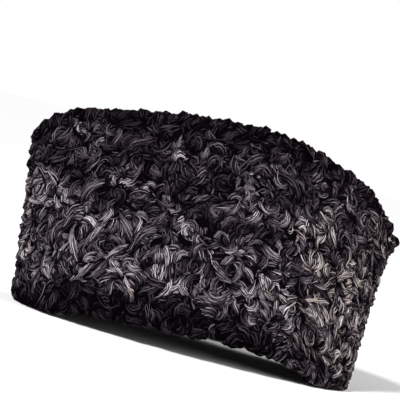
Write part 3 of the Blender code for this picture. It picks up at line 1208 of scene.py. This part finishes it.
class KarakulFur(bpy.types.PropertyGroup):
    """Sizes and colours of the curled pelt."""

    roll_spacing: size_property(
        "Roll spacing", "Distance between the middles of neighbouring rolls", 5.7 * MM, 3 * MM, 20 * MM)
    roll_width: size_property("Roll width", "Width of a full roll of fur", 7.6 * MM, 3 * MM, 20 * MM)
    roll_height: size_property(
        "Roll height", "Height of a full roll above the skin", 3.8 * MM, 1 * MM, 8 * MM)
    swirl: size_property(
        "Swirl", "Distance over which the rolls change direction", 18 * MM, 8 * MM, 120 * MM, precision=3)
    hairs_on_lock: bpy.props.IntProperty(
        name="Hairs on a lock", description="Single hairs laid along an ordinary lock",
        default=10, min=1, max=40)
    hair_width: size_property(
        "Hair width", "Width of a single hair", 0.30 * MM, 0.1 * MM, 2 * MM, precision=5)
    streaks: bpy.props.FloatProperty(
        name="Streaks", description="Strands that lie side by side on a lock",
        default=11.0, min=1, max=40)
    tone_spread: bpy.props.FloatProperty(
        name="Tone spread", description="How much rarer light hair is than dark",
        default=2.0, min=0.2, max=8)
    black: colour_property("Black", "Colour of roots, tips and dark hairs", 0.0010, 0.0006, 0.0010)
    dusk: colour_property("Dusk", "Hue of hair between black and light", 0.70, 0.51, 0.76)
    cool_light: colour_property("Cool light", "Colour of the lightest grey hairs", 0.69, 0.62, 0.665)
    warm_light: colour_property("Warm light", "Colour of the lightest brownish hairs", 0.72, 0.62, 0.575)
    underfur: colour_property("Underfur", "Lighter colour of the matted underfur", 0.0022, 0.0018, 0.0023)
    inside_dark: colour_property("Inside, dark", "Darker colour of the pelt's back", 0.030, 0.027, 0.026)
    inside_light: colour_property("Inside, light", "Lighter colour of the pelt's back", 0.060, 0.054, 0.050)


class KarakulStage(bpy.types.PropertyGroup):
    """Camera, floor and lights."""

    distance: size_property(
        "Camera distance", "From the camera to the middle of the cap", 1.7, 0.4, 6, precision=2)
    elevation: bpy.props.FloatProperty(
        name="Camera elevation", description="Angle at which the camera looks down",
        default=math.radians(2.0), min=0, max=math.radians(80), subtype="ANGLE")
    roll: bpy.props.FloatProperty(
        name="Camera roll", description="Turn of the camera about its view, which tips the cap",
        default=math.radians(15.4), min=-math.pi, max=math.pi, subtype="ANGLE")
    backdrop: bpy.props.FloatProperty(
        name="Backdrop", description="Brightness of the backdrop behind the cap",
        default=1.0, min=0, max=4)
    ambient: bpy.props.FloatProperty(
        name="Ambient", description="Brightness of the soft light from all round",
        default=0.20, min=0, max=4)
    floor_colour: colour_property("Floor", "Colour of the floor", 0.92, 0.92, 0.92)


class KARAKUL_OT_pelt(bpy.types.Operator):
    """Makes the pelt of both side panels and the crown"""

    bl_idname = "karakul.pelt"
    bl_label = "Add Pelt"

    def execute(self, context):
        fur = context.scene.karakul_fur
        materials = [underfur_material(fur), inside_material(fur)]
        for side in ("left", "right"):
            piece = add_piece(f"pelt_{side}", panel_pelt(side, fur), materials)
            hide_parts(f"side_panel_{side}")
        piece = add_piece("pelt_crown", crown_pelt(fur), materials)
        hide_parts("crown_insert")
        return {"FINISHED"}


class KARAKUL_OT_panel_fur(bpy.types.Operator):
    """Lays locks and hairs over both side panels and their ridges"""

    bl_idname = "karakul.panel_fur"
    bl_label = "Add Panel Fur"

    def execute(self, context):
        for side in ("left", "right"):
            add_fur(side, ("_front", "_back"), context.scene.karakul_fur)
        return {"FINISHED"}


class KARAKUL_OT_crown_fur(bpy.types.Operator):
    """Lays locks and hairs over the folded crown"""

    bl_idname = "karakul.crown_fur"
    bl_label = "Add Crown Fur"

    def execute(self, context):
        add_fur("crown", ("",), context.scene.karakul_fur)
        return {"FINISHED"}


def camera_matrix():
    """Where the camera stands and how it is turned, from the stage's properties."""
    stage = bpy.context.scene.karakul_stage
    back = Vector((0, -math.cos(stage.elevation), math.sin(stage.elevation)))
    place = Matrix.Translation(PICTURE_MIDDLE + back * stage.distance)
    facing = (-back).to_track_quat("-Z", "Y").to_matrix().to_4x4()
    return place @ facing @ Matrix.Rotation(stage.roll, 4, "Z")


def in_picture(points):
    """Where points show in the photograph, in its pixels from the top left."""
    matrix = np.array(camera_matrix())
    local = (points - matrix[:3, 3]) @ matrix[:3, :3]
    scale = bpy.context.scene.karakul_stage.distance / PIXEL
    across = PICTURE_SIZE / 2 + local[:, 0] / -local[:, 2] * scale
    down = PICTURE_SIZE / 2 - local[:, 1] / -local[:, 2] * scale
    return np.stack((across, down), axis=-1)


def add_light(name, kind, place, strength, size):
    """A soft sun or panel that shines on the cap."""
    light = bpy.data.lights.new(name, kind)
    light.energy = strength
    if kind == "SUN":
        light.angle = size
    else:
        light.shape = "RECTANGLE"
        light.size, light.size_y = size
    lamp = bpy.data.objects.new(name, light)
    lamp.location = place
    lamp.rotation_euler = (LIGHT_TARGET - Vector(place)).to_track_quat("-Z", "Y").to_euler()
    bpy.context.scene.collection.objects.link(lamp)


def studio_world(backdrop, ambient):
    """A backdrop that the camera sees bright, while it lights the cap only softly."""
    recipe = Recipe("studio", is_world=True)
    seen = recipe.node("ShaderNodeLightPath")
    inputs = {"Value": seen, "To Min": ambient, "To Max": backdrop}
    strength = recipe.node("ShaderNodeMapRange", None, inputs)
    light = recipe.node("ShaderNodeBackground", None, {"Color": (1, 1, 1, 1), "Strength": strength})
    recipe.node("ShaderNodeOutputWorld", None, {"Surface": light})
    return recipe.made


class KARAKUL_OT_stage(bpy.types.Operator):
    """Adds the floor, the lights and the camera"""

    bl_idname = "karakul.stage"
    bl_label = "Add Stage"

    def execute(self, context):
        scene = context.scene
        stage = scene.karakul_stage
        lens = bpy.data.cameras.new("camera")
        lens.sensor_width = 36
        lens.lens = lens.sensor_width * stage.distance / (PICTURE_SIZE * PIXEL)
        lens.clip_end = 30
        camera = bpy.data.objects.new("camera", lens)
        camera.matrix_world = camera_matrix()
        scene.collection.objects.link(camera)
        scene.camera = camera

        bpy.ops.mesh.primitive_plane_add(size=16, location=(0, 0, 0))
        floor = context.active_object
        floor.name = "floor"
        floor.data.materials.append(Recipe("floor_paper").finish(stage.floor_colour, 0.9))

        scene.world = studio_world(stage.backdrop, stage.ambient)
        scene.view_settings.view_transform = "Standard"
        for light in LIGHTS:
            add_light(*light)
        return {"FINISHED"}


class KARAKUL_PT_panel(bpy.types.Panel):
    """Lists the cap's pieces, with their sizes and colours"""

    bl_label = "Karakul Cap"
    bl_idname = "KARAKUL_PT_panel"
    bl_space_type = "VIEW_3D"
    bl_region_type = "UI"
    bl_category = "Karakul Cap"

    def draw(self, context):
        layout = self.layout
        for group in (context.scene.karakul_fur, context.scene.karakul_stage):
            box = layout.box()
            for name in group.__annotations__:
                box.prop(group, name)
        for operator in OPERATORS:
            layout.operator(operator.bl_idname)


OPERATORS = (
    KARAKUL_OT_stage,
    KARAKUL_OT_pelt,
    KARAKUL_OT_panel_fur,
    KARAKUL_OT_crown_fur,
)
CLASSES = (KarakulFur, KarakulStage, *OPERATORS, KARAKUL_PT_panel)


def register():
    for cls in CLASSES:
        bpy.utils.register_class(cls)
    bpy.types.Scene.karakul_fur = bpy.props.PointerProperty(type=KarakulFur)
    bpy.types.Scene.karakul_stage = bpy.props.PointerProperty(type=KarakulStage)


def unregister():
    del bpy.types.Scene.karakul_fur
    del bpy.types.Scene.karakul_stage
    for cls in reversed(CLASSES):
        bpy.utils.unregister_class(cls)


def main():
    register()
    bpy.ops.karakul.stage()
    bpy.ops.karakul.pelt()
    bpy.ops.karakul.panel_fur()
    bpy.ops.karakul.crown_fur()


if __name__ == "__main__":
    main()
